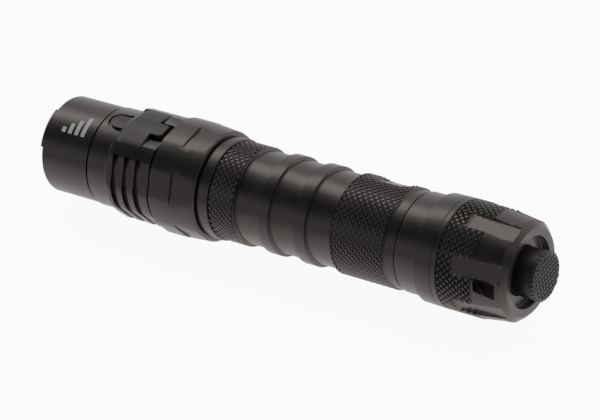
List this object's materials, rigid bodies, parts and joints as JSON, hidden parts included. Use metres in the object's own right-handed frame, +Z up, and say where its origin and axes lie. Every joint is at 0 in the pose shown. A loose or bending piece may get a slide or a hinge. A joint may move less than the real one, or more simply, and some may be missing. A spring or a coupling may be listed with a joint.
{
  "type": "tactical flashlight",
  "caption": "Slim one-cell hand light with a toothed bezel, finned hexagonal head, knurled waisted tube and screw-on tail cap with a push button.",
  "frame": {"origin": "bottom centre of the box of the light lying on its side", "axes": "+X along the beam, +Z up through the charging-port cover, +Y to the left of the beam"},
  "size_m": [0.134, 0.0276, 0.0262],
  "materials": {
    "anodised": "matte hard-anodised black",
    "rubber": "matte black",
    "glass": "clear, coated",
    "mirror": "vacuum-metallised",
    "white_plastic": "matte white",
    "emitter": "phosphor under a clear dome",
    "copper": "copper core board",
    "wire": "red insulation",
    "steel": "satin",
    "dark_plastic": "matte black",
    "circuit_board": "green solder mask",
    "brass": "plain brass, gold flash",
    "wrapper": "shrink wrap",
    "plunger": "matte"
  },
  "bodies": {
    "light": {"bezel": "anodised", "bezel_o_ring": "rubber", "lens_seal": "rubber", "lens": "glass", "reflector": "mirror", "led_gasket": "white_plastic", "led_emitter": "emitter", "led_board": "copper", "led_leads": "wire", "head_body": "anodised", "cover_strap": "rubber", "charge_socket": "steel", "charge_tongue": "dark_plastic", "charge_board": "circuit_board", "driver_components": "dark_plastic", "driver_board": "circuit_board", "driver_retaining_ring": "brass", "front_contact": "brass", "battery_tube": "anodised", "front_o_ring": "rubber", "rear_o_ring": "rubber", "cell_positive_cap": "steel", "cell_top_ring": "white_plastic", "cell_can": "steel", "cell_wrapper": "wrapper"},
    "cover": {"port_cover": "rubber"},
    "spring": {"tail_spring": "brass"},
    "tail": {"tail_cap": "anodised", "switch_board": "circuit_board", "switch_retaining_ring": "brass", "switch_spacer": "white_plastic", "switch_body": "dark_plastic", "switch_spring": "steel"},
    "button": {"tail_button": "rubber", "switch_plunger": "plunger"}
  },
  "joints": [
    {"name": "cover_open", "type": "hinge", "parent": "light", "child": "cover", "pos_m": [0.0456, 0, 0.0244], "axis": [0, 1, 0], "range_deg": [0, 110]},
    {"name": "cap_travel", "type": "slide", "parent": "light", "child": "spring", "axis": [-1, 0, 0], "range_m": [0, 0.005]},
    {"name": "cap_turn", "type": "hinge", "parent": "spring", "child": "tail", "pos_m": [-0.05, 0, 0.0127], "axis": [-1, 0, 0], "range_deg": [0, 1800]},
    {"name": "button_press", "type": "slide", "parent": "tail", "child": "button", "axis": [1, 0, 0], "range_m": [0, 0.0015], "stiffness_N_per_m": 800, "springref_m": -0.002, "deforming": ["switch_spring"]}
  ],
  "couplings": [
    {"joint": "cap_turn", "follows": "cap_travel", "rad_per_m": 6283.2}
  ]
}
